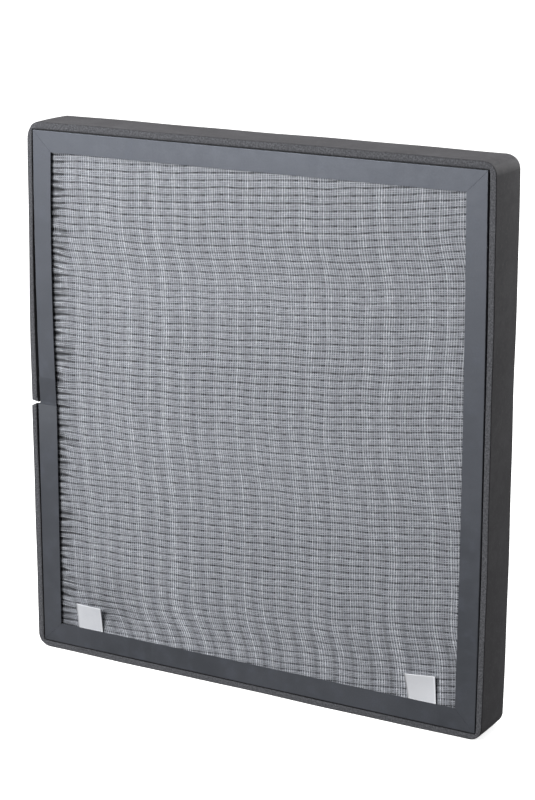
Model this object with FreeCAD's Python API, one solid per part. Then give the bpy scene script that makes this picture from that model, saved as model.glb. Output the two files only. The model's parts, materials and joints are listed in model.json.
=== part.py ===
import FreeCAD, Part
import math
import os

# Framed pleated filter panel: a folded sheet channel holds a pack of horizontal pleats under a
# net, a foam strip seals its edge, and two ribbon tabs pull it out of its slot.
# Millimetres. The origin is the middle of the foam's lower face, +X is to the right, +Y runs
# from the net side to the clean side, and +Z is up.

# Overall
DEPTH = 35.0
SEAL = 4.8                       # foam strip's thickness
TOP_SEAL = 5.7                   # its thickness along the top, where it is less squeezed
TAPE = 0.2                       # tape between the foam and the frame
CORNER_REACH = 0.66              # share of its thickness by which the foam stands out at 45
                                 # degrees from a corner; it is stretched, so it is under 0.707
FRONT, REAR = -DEPTH / 2, DEPTH / 2

# Frame strip: outline of its outer face, as half widths at certain heights
SHEET = 0.8                      # thickness of the folded sheet
FLANGE = 15.0                    # width of the front and rear flange
LOWER_FLANGE = 16.1              # width of the left flange at the lap, on the lower end
UPPER_FLANGE = 13.9              # the same on the upper end
LEFT_FLANGE = 14.1               # width of the left flange at its bulge
FRAME_BOTTOM = SEAL + TAPE
FRAME_TOP = 384.1
LOW_CORNER = 174.7               # half width at the lower corners
TOP_CORNER = 174.0               # half width at the upper corners
RIGHT_BULGE, RIGHT_BULGE_Z = 175.6, 205.0
LEFT_BULGE, LEFT_BULGE_Z = 174.8, 292.0
FOLD_RADIUS = 0.6                # outer radius of the folds

# Lap of the strip's two ends, in the middle of the left side
JOINT_Z = 186.0                  # edge of the lower end, which lies outside
JOINT_HALF = 175.2               # half width of the lower end there
TUCKED_HALF = 173.8              # half width of the upper end, which is tucked in
JOG_TOP, JOG_BOTTOM = 206.0, 188.0
TUCK_BOTTOM = 166.0
TUCK_GAP = 0.1                   # glue film between the two flanges
NOTCH_RISE = 1.8                 # half the mouth of the V notch in the foam

# Pleat pack
PLEATS = 78
PITCH = 4.775
MEDIUM = 0.6                     # thickness of the filter sheet
TIP = 1.3                        # half width of a pleat's flat tip
PACK_HALF = 171.5
PACK_BOTTOM = 8.8
PACK_TOP = PACK_BOTTOM + PLEATS * PITCH
PACK_FRONT, PACK_REAR = -15.0, 14.0
SEALANT_FRONT, SEALANT_REAR = -14.8, 13.8

# Net, support grid and the glue lines that hold them
NET_FRONT = -15.4
NET_HALF, NET_BOTTOM, NET_TOP = 172.0, 7.5, 382.5
GLUE_WIDTH = 4.0
GRID_FRONT, GRID_REAR = 14.6, 15.6
GRID_HALF, GRID_BOTTOM, GRID_TOP = 170.0, 10.0, 380.0
GRID_CELLS_X, GRID_CELLS_Z = 17, 18
GRID_BORDER, GRID_STRAND = 8.0, 1.4

# Hot-melt beads over the clean side's pleats
BEAD_PLACES = (-136.0, -68.0, 0.0, 68.0, 136.0)
BEAD_WIDTH, BEAD_DEPTH, BEAD_PROUD = 2.4, 6.0, 0.5

# Ribbon tabs: each is a ribbon folded in two, glued behind the lower flange
RIBBON_WIDTH = 21.2
RIBBON_HALF = 0.4                # half the thickness of the two plies
TAB_FREE = 20.2                  # free length above the bend
TAB_PLACES = {"left": -134.0, "right": 134.6}
TAB_LEAN = {"left": 15.0, "right": 10.0}     # degrees forward of upright
FOOT_BOTTOM, FOOT_TOP = 12.0, 20.2
PAD = 0.15
OPENING_BOTTOM = FRAME_BOTTOM + FLANGE
BEND_Y = FRONT + SHEET / 2       # bend axis: above the middle of the flange's edge
BEND_Z = OPENING_BOTTOM + 0.4
RIBBON_Y = FRONT + SHEET + PAD + RIBBON_HALF


def point(x, z, y=0.0):
    return FreeCAD.Vector(x, y, z)


def line(a, b):
    return Part.LineSegment(a, b).toShape()


def arc(a, b, c):
    return Part.Arc(a, b, c).toShape()


def box(x0, x1, y0, y1, z0, z1):
    return Part.makeBox(x1 - x0, y1 - y0, z1 - z0, FreeCAD.Vector(x0, y0, z0))


def prism(points, direction):
    """A solid from a closed polygon, pushed along direction."""
    wire = Part.makePolygon(points + points[:1])
    return Part.Face(wire).extrude(direction)


def lower_left(z):
    """Half width of the left side's lower run, which leans out towards the lap."""
    share = (z - FRAME_BOTTOM) / (JOINT_Z - FRAME_BOTTOM)
    return LOW_CORNER + share * (JOINT_HALF - LOW_CORNER)


def outline(inset, low_end, high_end):
    """Edges of the frame's outline, moved in by inset, from the lap's lower end round the
    bottom, right and top to its upper end. A negative inset rounds the corners."""
    out = max(0.0, -inset)
    d = max(0.0, inset)

    def corner(half, z, sx, sz):
        """The corner's points before, at and after its middle, going round the outline."""
        at = (sx * (half - d), z - sz * d)
        rise = out + (TOP_SEAL - SEAL if out > TAPE and sz > 0 else 0)
        on_side = point(at[0] + sx * out, at[1])
        on_end = point(at[0], at[1] + sz * rise)
        middle = point(at[0] + sx * out * CORNER_REACH, at[1] + sz * rise * CORNER_REACH)
        return on_side, middle, on_end

    def left_edge(half, z, flange):
        """A point of the left side, where the flange has a width of its own."""
        return point(-half + (flange if inset == FLANGE else inset), z)

    bl = corner(LOW_CORNER, FRAME_BOTTOM, -1, -1)
    br = corner(LOW_CORNER, FRAME_BOTTOM, 1, -1)
    tr = corner(TOP_CORNER, FRAME_TOP, 1, 1)
    tl = corner(TOP_CORNER, FRAME_TOP, -1, 1)
    start = left_edge(lower_left(low_end), low_end, LOWER_FLANGE)
    right = point(RIGHT_BULGE - inset, RIGHT_BULGE_Z)
    left = left_edge(LEFT_BULGE, LEFT_BULGE_Z, LEFT_FLANGE)
    above_jog = left_edge(TUCKED_HALF, JOG_TOP, UPPER_FLANGE)
    edges = [line(start, bl[0])]
    edges += [arc(*bl)] if out else []
    edges += [line(bl[2], br[2])]
    edges += [arc(br[2], br[1], br[0])] if out else []
    edges += [arc(br[0], right, tr[0])]
    edges += [arc(*tr)] if out else []
    edges += [line(tr[2], tl[2])]
    edges += [arc(tl[2], tl[1], tl[0])] if out else []
    edges += [arc(tl[0], left, above_jog)]
    end = above_jog
    if high_end < JOG_TOP:
        end = left_edge(TUCKED_HALF, high_end, UPPER_FLANGE)
        edges += [line(above_jog, end)]
    return edges, start, end


def band(outer, inner, y0, y1, outer_ends, inner_ends):
    """A strip between two outlines, open at the lap, from depth y0 to y1."""
    edges_a, start_a, end_a = outline(outer, *outer_ends)
    edges_b, start_b, end_b = outline(inner, *inner_ends)
    wire = Part.Wire(Part.__sortEdges__(edges_a + edges_b + [line(end_a, end_b), line(start_a, start_b)]))
    face = Part.Face(wire)
    face.translate(FreeCAD.Vector(0, y0, 0))
    return face.extrude(FreeCAD.Vector(0, y1 - y0, 0))


def inner_space():
    """The room inside the frame's web."""
    edges, start, end = outline(SHEET, JOINT_Z, JOG_TOP)
    face = Part.Face(Part.Wire(Part.__sortEdges__(edges + [line(end, start)])))
    face.translate(FreeCAD.Vector(0, FRONT, 0))
    return face.extrude(FreeCAD.Vector(0, DEPTH, 0))


def channel_run(z0, half0, z1, half1):
    """A length of channel on the left side between two heights, with its half depth at each."""
    x = -TUCKED_HALF

    def plate(y0, y1, width):
        """A plate between depths y0 and y1 at z0, which move with the half depth to z1."""
        shift = half0 - half1
        corners = [(y0, z0), (y1, z0), (y1 - math.copysign(shift, y1), z1),
                   (y0 - math.copysign(shift, y0), z1)]
        section = [FreeCAD.Vector(x, cy, cz) for cy, cz in corners]
        return prism(section, FreeCAD.Vector(width, 0, 0))

    front = plate(-half0, -half0 + SHEET, UPPER_FLANGE)
    rear = plate(half0 - SHEET, half0, UPPER_FLANGE)
    return plate(-half0, half0, SHEET).fuse(front).fuse(rear)


def mitre_groove(sx, z, sz, depth_side):
    """A shallow groove across a flange's corner, where its two ends meet at 45 degrees."""
    width, deep, over = 0.16, 0.1, 1.0
    half = TOP_CORNER if sz > 0 else LOW_CORNER
    outer = FreeCAD.Vector(sx * (half + over), 0, z + sz * over)
    reach = FLANGE + 2 * over
    inner = outer + FreeCAD.Vector(-sx * reach, 0, -sz * reach)
    along = FreeCAD.Vector(-sx, 0, -sz)
    across = FreeCAD.Vector(sz, 0, -sx)
    across.normalize()
    face_y = FRONT if depth_side < 0 else REAR
    section = [
        outer + across * width / 2, outer - across * width / 2,
        outer + FreeCAD.Vector(0, -depth_side * deep, 0),
    ]
    section = [p + FreeCAD.Vector(0, face_y, 0) for p in section]
    return prism(section, along * (inner - outer).Length / along.Length)


def frame_strip():
    ends = (JOINT_Z, JOG_TOP)
    shape = band(0, SHEET, FRONT, REAR, ends, ends)
    for y0, y1 in ((FRONT, FRONT + SHEET), (REAR - SHEET, REAR)):
        shape = shape.fuse(band(0, FLANGE, y0, y1, ends, ends))
    shape = shape.removeSplitter()
    shape = shape.makeFillet(FOLD_RADIUS, fold_edges(shape))
    tucked = REAR - SHEET - TUCK_GAP
    shape = shape.fuse(channel_run(JOG_TOP, REAR, JOG_BOTTOM, tucked))
    shape = shape.fuse(channel_run(JOG_BOTTOM, tucked, TUCK_BOTTOM, tucked))
    for side in (-1, 1):
        for sx in (-1, 1):
            shape = shape.cut(mitre_groove(sx, FRAME_TOP, 1, side))
            shape = shape.cut(mitre_groove(sx, FRAME_BOTTOM, -1, side))
    return shape


def fold_edges(shape):
    """The outer fold edges along the four sides, front and rear."""
    found = []
    for edge in shape.Edges:
        middle = edge.valueAt((edge.FirstParameter + edge.LastParameter) / 2)
        on_face = abs(abs(middle.y) - REAR) < 0.01 and edge.Length > FLANGE * 4
        rim_x = abs(middle.x) > TUCKED_HALF - 1
        rim_z = middle.z < FRAME_BOTTOM + 1 or middle.z > FRAME_TOP - 1
        if on_face and (rim_x or rim_z):
            found.append(edge)
    return found


def lap_glue(frame):
    """Glue between the two lapped ends: behind the web and behind both flanges."""
    z0, z1 = TUCK_BOTTOM + 2, JOINT_Z - 2
    inner = REAR - SHEET - TUCK_GAP
    web = box(-JOINT_HALF + SHEET / 2, -TUCKED_HALF, -inner + 1, inner - 1, z0, z1)
    shape = web.cut(frame)
    flange_in = -TUCKED_HALF + UPPER_FLANGE - 2
    for y0 in (-inner - TUCK_GAP, inner):
        shape = shape.fuse(box(-TUCKED_HALF + 1, flange_in, y0, y0 + TUCK_GAP, z0, z1))
    return shape


def foam_seal():
    inner_ends = (JOINT_Z - 0.1, JOINT_Z + 0.1)
    outer_ends = (JOINT_Z - NOTCH_RISE, JOINT_Z + NOTCH_RISE)
    return band(-SEAL - TAPE, -TAPE, FRONT, REAR, outer_ends, inner_ends)


def seal_tape():
    ends = (JOINT_Z - 4, JOINT_Z + 4)
    margin = 2.0
    return band(-TAPE, 0, FRONT + margin, REAR - margin, ends, ends)


def pleat_faces():
    """The filter sheet's front and rear faces as (y, z) points, from bottom to top."""
    inner_tip = TIP - MEDIUM
    front_face, rear_face = [], []
    for k in range(PLEATS):
        rear = PACK_BOTTOM + k * PITCH
        tip = rear + PITCH / 2
        first = rear if k == 0 else rear - inner_tip
        front_face += [(PACK_REAR - MEDIUM, first), (PACK_REAR - MEDIUM, rear + inner_tip)]
        front_face += [(PACK_FRONT, tip - TIP), (PACK_FRONT, tip + TIP)]
        rear_face += [(PACK_REAR, rear if k == 0 else rear - TIP), (PACK_REAR, rear + TIP)]
        rear_face += [(PACK_FRONT + MEDIUM, tip - inner_tip), (PACK_FRONT + MEDIUM, tip + inner_tip)]
    front_face += [(PACK_REAR - MEDIUM, PACK_TOP - inner_tip), (PACK_REAR - MEDIUM, PACK_TOP)]
    rear_face += [(PACK_REAR, PACK_TOP - TIP), (PACK_REAR, PACK_TOP)]
    return front_face, rear_face


def pleated_medium():
    front_face, rear_face = pleat_faces()
    points = [FreeCAD.Vector(-PACK_HALF, y, z) for y, z in front_face + rear_face[::-1]]
    return prism(points, FreeCAD.Vector(2 * PACK_HALF, 0, 0))


def spacer_beads():
    """Hot-melt lines that run up the clean side and dip between the pleats."""
    inner_tip = TIP - MEDIUM
    slope = (PITCH / 2 - TIP - inner_tip) / (PACK_REAR - MEDIUM - PACK_FRONT)
    tooth_y = PACK_REAR - BEAD_DEPTH
    clear = 0.02
    tooth_half = inner_tip + slope * (tooth_y - PACK_FRONT - MEDIUM) - clear
    mouth_half = PITCH / 2 - TIP - clear
    first, last = PACK_BOTTOM + TIP, PACK_TOP - TIP
    points = [(PACK_REAR + BEAD_PROUD, first), (PACK_REAR, first)]
    for k in range(PLEATS):
        tip = PACK_BOTTOM + (k + 0.5) * PITCH
        points += [(PACK_REAR, tip - mouth_half), (tooth_y, tip - tooth_half)]
        points += [(tooth_y, tip + tooth_half), (PACK_REAR, tip + mouth_half)]
    points += [(PACK_REAR, last), (PACK_REAR + BEAD_PROUD, last)]
    beads = []
    for x in BEAD_PLACES:
        section = [FreeCAD.Vector(x - BEAD_WIDTH / 2, y, z) for y, z in points]
        beads.append(prism(section, FreeCAD.Vector(BEAD_WIDTH, 0, 0)))
    return Part.makeCompound(beads)


def sealants(frame, glue):
    """Sealant round the pleat pack: both open ends, the first and last pleat, the corners."""
    room = inner_space().cut(frame).cut(glue)
    deep = (SEALANT_FRONT, SEALANT_REAR)
    wide = JOINT_HALF + 1
    tall = FRAME_TOP + 1
    gap = 0.05
    blocks = {
        "potting_left": box(-wide, -PACK_HALF, *deep, PACK_BOTTOM, PACK_TOP),
        "potting_right": box(PACK_HALF, wide, *deep, PACK_BOTTOM, PACK_TOP),
        "end_glue_bottom": box(-PACK_HALF, PACK_HALF, *deep, 0, PACK_BOTTOM),
        "end_glue_top": box(-PACK_HALF, PACK_HALF, *deep, PACK_TOP, tall),
    }
    made = {name: largest(b.common(room)) for name, b in blocks.items()}
    corners = []
    for x0, x1 in ((-wide, -PACK_HALF - gap), (PACK_HALF + gap, wide)):
        for z0, z1 in ((0, PACK_BOTTOM - gap), (PACK_TOP + gap, tall)):
            corners.append(largest(box(x0, x1, *deep, z0, z1).common(room)))
    made["corner_sealant"] = Part.makeCompound(corners)
    return made


def largest(shape):
    return max(shape.Solids, key=lambda s: s.Volume)


def ring(half, bottom, top, width, y0, y1):
    """A rectangular frame of the given width, in the XZ plane."""
    whole = box(-half, half, y0, y1, bottom, top)
    hole = box(-half + width, half - width, y0 - 1, y1 + 1, bottom + width, top - width)
    return whole.cut(hole)


def front_net():
    return box(-NET_HALF, NET_HALF, NET_FRONT, PACK_FRONT, NET_BOTTOM, NET_TOP)


def net_glue(frame, glue):
    line_of_glue = ring(NET_HALF, NET_BOTTOM, NET_TOP, GLUE_WIDTH, FRONT + SHEET, NET_FRONT)
    return largest(line_of_glue.cut(frame).cut(glue))


def grid_glue(frame, glue):
    inset = 2.0
    bottom, top = GRID_BOTTOM + inset, GRID_TOP - inset
    line_of_glue = ring(GRID_HALF - inset, bottom, top, GLUE_WIDTH, GRID_REAR, REAR - SHEET)
    return largest(line_of_glue.cut(frame).cut(glue))


def rear_grid():
    """Open support mesh: a border with square cells between flat strands."""
    wide = 2 * (GRID_HALF - GRID_BORDER)
    tall = GRID_TOP - GRID_BOTTOM - 2 * GRID_BORDER
    step_x = (wide + GRID_STRAND) / GRID_CELLS_X
    step_z = (tall + GRID_STRAND) / GRID_CELLS_Z
    depth = FreeCAD.Vector(0, GRID_REAR - GRID_FRONT, 0)
    outer = rectangle(-GRID_HALF, GRID_HALF, GRID_BOTTOM, GRID_TOP)
    cells = []
    for i in range(GRID_CELLS_X):
        for j in range(GRID_CELLS_Z):
            x = -GRID_HALF + GRID_BORDER + i * step_x
            z = GRID_BOTTOM + GRID_BORDER + j * step_z
            cells.append(rectangle(x, x + step_x - GRID_STRAND, z, z + step_z - GRID_STRAND))
    return Part.makeFace([outer] + cells, "Part::FaceMakerBullseye").extrude(depth)


def rectangle(x0, x1, z0, z1):
    points = [FreeCAD.Vector(x, GRID_FRONT, z) for x, z in ((x0, z0), (x1, z0), (x1, z1), (x0, z1))]
    return Part.makePolygon(points + points[:1])


def tab_leaf(x, lean):
    """The free length of a folded ribbon, its fold at the top, leaning forward about the bend."""
    x0, x1 = x - RIBBON_WIDTH / 2, x + RIBBON_WIDTH / 2
    y0, y1 = RIBBON_Y - RIBBON_HALF, RIBBON_Y + RIBBON_HALF
    top = BEND_Z + TAB_FREE - RIBBON_HALF
    plies = box(x0, x1, y0, y1, BEND_Z, top)
    fold = Part.makeCylinder(
        RIBBON_HALF, RIBBON_WIDTH, FreeCAD.Vector(x0, RIBBON_Y, top), FreeCAD.Vector(1, 0, 0)
    )
    leaf = plies.fuse(fold).removeSplitter()
    leaf.rotate(FreeCAD.Vector(0, BEND_Y, BEND_Z), FreeCAD.Vector(1, 0, 0), lean)
    return leaf


def tab_foot(x):
    y0, y1 = RIBBON_Y - RIBBON_HALF, RIBBON_Y + RIBBON_HALF
    return box(x - RIBBON_WIDTH / 2, x + RIBBON_WIDTH / 2, y0, y1, FOOT_BOTTOM, FOOT_TOP)


def tab_pad(x):
    margin = 1.0
    y0 = FRONT + SHEET
    half = RIBBON_WIDTH / 2 - margin
    return box(x - half, x + half, y0, y0 + PAD, FOOT_BOTTOM + margin, FOOT_TOP - 2 * margin)


def build():
    frame = frame_strip()
    glue = lap_glue(frame)
    nodes = {
        "frame_strip": frame,
        "lap_glue": glue,
        "foam_seal": foam_seal(),
        "seal_tape": seal_tape(),
        "pleated_medium": pleated_medium(),
        "spacer_beads": spacer_beads(),
        "front_net": front_net(),
        "net_glue": net_glue(frame, glue),
        "rear_grid": rear_grid(),
        "grid_glue": grid_glue(frame, glue),
    }
    nodes.update(sealants(frame, glue))
    for side, x in TAB_PLACES.items():
        nodes[f"tab_{side}_leaf"] = tab_leaf(x, TAB_LEAN[side])
        nodes[f"tab_{side}_foot"] = tab_foot(x)
        nodes[f"tab_{side}_pad"] = tab_pad(x)
    return nodes


os.makedirs("parts", exist_ok=True)
for name, shape in build().items():
    print(name, "valid" if shape.isValid() else "INVALID", len(shape.Solids), round(shape.Volume, 1))
    shape.exportStep(f"parts/{name}.step")
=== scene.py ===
import json
import math

import bmesh
import bpy
import numpy as np
from mathutils import Matrix, Vector


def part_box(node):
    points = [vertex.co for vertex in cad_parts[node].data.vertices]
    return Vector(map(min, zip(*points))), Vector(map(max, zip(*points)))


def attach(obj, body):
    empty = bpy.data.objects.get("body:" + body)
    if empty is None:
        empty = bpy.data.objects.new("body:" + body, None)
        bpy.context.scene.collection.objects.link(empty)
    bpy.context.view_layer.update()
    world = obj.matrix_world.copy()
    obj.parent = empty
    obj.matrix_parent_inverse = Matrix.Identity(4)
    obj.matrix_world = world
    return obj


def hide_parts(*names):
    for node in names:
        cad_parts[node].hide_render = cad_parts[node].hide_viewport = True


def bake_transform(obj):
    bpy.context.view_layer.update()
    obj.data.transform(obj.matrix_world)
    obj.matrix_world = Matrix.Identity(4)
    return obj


# Looks of a framed, pleated filter panel. The foam strip, the pleated medium, the net, the hot-melt
# beads and the ribbon tabs are built here; the other CAD nodes stay, and are only given materials.
# Sizes are in millimetres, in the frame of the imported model, and become metres in new_piece().

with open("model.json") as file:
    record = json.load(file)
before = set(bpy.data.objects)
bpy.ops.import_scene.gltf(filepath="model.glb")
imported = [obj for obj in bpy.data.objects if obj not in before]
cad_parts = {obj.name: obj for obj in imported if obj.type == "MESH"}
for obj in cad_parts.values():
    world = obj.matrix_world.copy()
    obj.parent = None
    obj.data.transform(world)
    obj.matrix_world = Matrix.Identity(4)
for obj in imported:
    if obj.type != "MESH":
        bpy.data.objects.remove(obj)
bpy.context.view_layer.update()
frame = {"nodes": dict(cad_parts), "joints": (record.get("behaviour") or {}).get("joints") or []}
nodes = frame["nodes"]
MM = 0.001
rng = np.random.default_rng(41)


def box_mm(node):
    """A node's lowest and highest corners, in millimetres."""
    low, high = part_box(node)
    return np.array(low) / MM, np.array(high) / MM


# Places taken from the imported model
FRAME_LOW, FRAME_HIGH = box_mm("frame_strip")
FOAM_TOP = box_mm("foam_seal")[1][2]
PACK_LOW, PACK_HIGH = box_mm("pleated_medium")
NET_LOW, NET_HIGH = box_mm("front_net")
FRONT, REAR = FRAME_LOW[1], FRAME_HIGH[1]
DEPTH = REAR - FRONT

# Outline of the frame: half widths at certain heights, and the lap in the left side
LOW_CORNER, TOP_CORNER = 174.7, 174.0
RIGHT_BULGE, RIGHT_BULGE_Z = 175.6, 205.0
LEFT_BULGE, LEFT_BULGE_Z = 174.8, 292.0
LAP_Z, LAP_HALF = 186.0, 175.2
TUCKED_HALF, JOG_TOP = 173.8, 206.0
FLANGE_EDGE = -159.5             # inner edge of the left flange
TAPE = 0.2                       # tape between the frame and the foam
SEAL = 4.8                       # thickness of the foam

# Pleats
PITCH = 4.775
PLEATS = 78
GAP_ODD, GAP_EVEN = 0.06, 0.02   # half the gap between two pleats' fronts, at odd and even valleys
EXTRA_PLEATS = 4                 # beyond the pack, because the pleats run at a slant

# Net: its upright threads run from bright to thin and back in bands
THREAD_PITCH = 1.7925
BAND_THREADS = 8
BAND = BAND_THREADS * THREAD_PITCH
BAND_START = -24.3               # middle of a bright band
DASH_A, DASH_B = 2.7, -5.8       # dashes of painted shade, from the middle of a band, on odd and even valleys


# ---- small helpers -------------------------------------------------------------------------

def new_piece(name, points, faces):
    """A smooth mesh object from points in millimetres; faces is an array, or a list of lists."""
    mesh = bpy.data.meshes.new(name)
    corners = faces if isinstance(faces, list) else faces.tolist()
    mesh.from_pydata((points * MM).tolist(), [], corners)
    mesh.update()
    mesh.shade_smooth()
    piece = bpy.data.objects.new(name, mesh)
    bpy.context.scene.collection.objects.link(piece)
    return piece


def set_values(piece, name, values):
    """A number for each vertex, which the materials read by name."""
    attribute = piece.data.attributes.new(name, "FLOAT", "POINT")
    attribute.data.foreach_set("value", np.asarray(values, np.float32).ravel())


def quads(rows, columns, close_columns=False):
    """Faces of a grid whose points are numbered row by row."""
    r = np.arange(rows - 1)
    c = np.arange(columns if close_columns else columns - 1)
    r, c = [g.ravel() for g in np.meshgrid(r, c, indexing="ij")]
    r1, c1 = r + 1, (c + 1) % columns
    return np.stack([r * columns + c, r * columns + c1, r1 * columns + c1, r1 * columns + c], 1)


def trim(piece, axis, low, high):
    """Cuts off what lies outside low to high along an axis, in millimetres."""
    mesh = bmesh.new()
    mesh.from_mesh(piece.data)
    for at, sign in ((low, -1), (high, 1)):
        place, normal = Vector((0, 0, 0)), Vector((0, 0, 0))
        place[axis], normal[axis] = at * MM, sign
        parts = mesh.verts[:] + mesh.edges[:] + mesh.faces[:]
        bmesh.ops.bisect_plane(mesh, geom=parts, plane_co=place, plane_no=normal, clear_outer=True)
    mesh.to_mesh(piece.data)
    mesh.free()


def rise(t):
    """0 well below zero and 1 well above it, smoothly."""
    return 0.5 * (1 + np.tanh(t))


def ease(t):
    """0 up to zero and 1 from one on, with level ends."""
    t = np.clip(t, 0, 1)
    return t * t * (3 - 2 * t)


def through(z, *places):
    """The half width at height z on a curve through three (half width, height) places."""
    total = 0
    for i, (half, at) in enumerate(places):
        a, b = [p[1] for j, p in enumerate(places) if j != i]
        total = total + half * (z - a) * (z - b) / ((at - a) * (at - b))
    return total


# ---- how the rows and threads wander ---------------------------------------------------------

ROW_CLIMB, ROW_BOW = 0.079, 1.4e-4   # the pleat lines' slope, and how their ends turn up
ROW_SAG, SAG_FROM, SAG_LENGTH = 1.1, 133, 126    # how they rise and sag, in waves up the panel
SAG_HALF = 175                   # half width at which they no longer do
NET_OFFSET = 12.6                # how far right the threads start at the bottom, but for FOOT_PULL
# Above each height the net lies so much further right, and the change takes so much height
NET_PULLS = ((-7.0, 165, 28), (2.4, 232, 22), (-7.2, 309, 16))
FOOT_PULL = 7                    # above the foot it lies further left, and more so at the left


def row_shift(x, z):
    """How far a pleat line lies above its even place: it climbs to the right and sags in waves."""
    climb = ROW_CLIMB * x + ROW_BOW * x ** 2 - 0.35 * (1 - np.cos(2 * math.pi * x / 150))
    sag = ROW_SAG * np.cos(2 * math.pi * (z - SAG_FROM) / SAG_LENGTH) * (1 - (x / SAG_HALF) ** 2)
    ripple = 0.2 * np.sin(x / 8.7 + z / 21) + 0.16 * np.sin(x / 4.9 - z / 13 + 1.7)
    return climb + sag + ripple


def wander(x, row):
    """How far each valley strays from its row on its own; pleats share it with their two valleys."""
    def stray(valley):
        wave = 6.0 + 5.0 * np.mod(valley * 0.618, 1)
        size = 0.22 + 0.26 * ease((-60 - x) / 90)
        return size * np.sin(x / wave + valley * 2.4) * np.cos(x / 31 + valley * 1.3)

    low = np.floor(row)
    return stray(low) * (1 - row + low) + stray(low + 1) * (row - low)


def thread_shift(x, z):
    """How far an upright thread lies to the right of its even place, as the net is pulled about."""
    shift = NET_OFFSET + sum(pull * rise((z - at) / width) for pull, at, width in NET_PULLS)
    shift = shift - FOOT_PULL * rise((z - 45) / 15)
    shift = shift + FOOT_PULL * rise((-20 - x) / 45) * rise((38 - z) / 14)
    bowl = 2.6 * (x / 150) ** 2 * rise((130 - z) / 25)
    ripple = 0.22 * np.sin(z / 7.1 + x / 17) + 0.2 * np.sin(z / 17 - x / 9.3)
    return shift + bowl + ripple


HOLE_X, HOLE_Z, HOLE_DEPTH = -120, 50, 0.6   # where the net is most pulled apart, and how far
HOLE_WIDE, HOLE_TALL = 26, 18
EDGE_FROM, EDGE_WIDE, EDGE_DEPTH = -134, 26, 0.34    # the same along its left edge


def pulled_apart(x, z):
    """How far the net is pulled apart, so that the dark felt shows: at the lower left, and all
    along the left edge."""
    hole = HOLE_DEPTH * np.exp(-((x - HOLE_X) / HOLE_WIDE) ** 2 - ((z - HOLE_Z) / HOLE_TALL) ** 2)
    return np.maximum(hole, EDGE_DEPTH * ease((EDGE_FROM - x) / EDGE_WIDE))


def left_end(x, reach):
    """1 where a pleat's left end is drawn in, at the flange's edge, and 0 at reach from there."""
    return ease((reach + FLANGE_EDGE - x) / reach)


# ---- materials -----------------------------------------------------------------------------

class Look:
    """A Principled material with the few nodes that its detail needs."""

    def __init__(self, name, **values):
        self.material = bpy.data.materials.new(name)
        self.material.use_nodes = True
        self.tree = self.material.node_tree
        self.shader = self.tree.nodes["Principled BSDF"]
        self.place = self.tree.nodes.new("ShaderNodeTexCoord").outputs["Object"]
        for key, value in values.items():
            self.shader.inputs[key.replace("_", " ")].default_value = value

    def add(self, kind, settings=None, **inputs):
        """A new node, with its settings, and a number, colour or link for its inputs."""
        node = self.tree.nodes.new("ShaderNode" + kind)
        for key, value in (settings or {}).items():
            setattr(node, key, value)
        for key, value in inputs.items():
            self.put(node.inputs[key.replace("_", " ")], value)
        return node

    def put(self, socket, value):
        if isinstance(value, bpy.types.NodeSocket):
            self.tree.links.new(value, socket)
        else:
            socket.default_value = value

    def stretched(self, factors):
        """The place on the piece, scaled along each axis: a factor under 1 stretches a pattern."""
        return self.add("Mapping", Vector=self.place, Scale=factors).outputs["Vector"]

    def noise(self, scale, detail=3.0, roughness=0.55, place=None):
        node = self.add("TexNoise", Vector=place or self.place, Scale=scale, Detail=detail,
                        Roughness=roughness)
        return node.outputs["Fac"]

    def speckle(self, scale):
        node = self.add("TexVoronoi", Vector=self.place, Scale=scale)
        return node.outputs["Distance"]

    def value(self, name):
        """A number that set_values() stored on the piece."""
        return self.add("Attribute", {"attribute_name": name}).outputs["Fac"]

    def math(self, operation, a, b=0.0, c=0.0):
        node = self.tree.nodes.new("ShaderNodeMath")
        node.operation = operation
        for socket, value in zip(node.inputs, (a, b, c)):
            self.put(socket, value)
        return node.outputs[0]

    def span(self, value, low, high, to_low=0.0, to_high=1.0):
        """value, eased from to_low at low to to_high at high, and held outside."""
        node = self.add("MapRange", {"interpolation_type": "SMOOTHSTEP"})
        for socket, number in zip(node.inputs, (value, low, high, to_low, to_high)):
            self.put(socket, number)
        return node.outputs[0]

    def mix(self, share, a, b):
        node = self.tree.nodes.new("ShaderNodeMix")
        node.data_type = "RGBA"
        self.put(node.inputs[0], share)
        for socket, colour in ((node.inputs[6], a), (node.inputs[7], b)):
            self.put(socket, colour if isinstance(colour, bpy.types.NodeSocket) else (*colour, 1))
        return node.outputs[2]

    def mix_numbers(self, share, a, b):
        node = self.add("Mix", {"data_type": "FLOAT"})
        for index, value in ((0, share), (2, a), (3, b)):
            self.put(node.inputs[index], value)
        return node.outputs[0]

    def finish(self, colour, roughness, height, depth, strength=0.6):
        """Colour, roughness and bump; depth is the bump's height in millimetres."""
        bump = self.add("Bump", Strength=strength, Distance=depth * MM, Height=height)
        self.put(self.shader.inputs["Base Color"], colour)
        self.put(self.shader.inputs["Roughness"], roughness)
        self.put(self.shader.inputs["Normal"], bump.outputs["Normal"])
        return self.material


LAP_INNER = -150.0               # the lap's shading stays left of this
LAP_SHADE_HEIGHT = 10.0                  # height of the painted shade above the lap
LAP_SHEEN_HEIGHT = 42.0                 # height of the painted sheen below it


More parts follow.
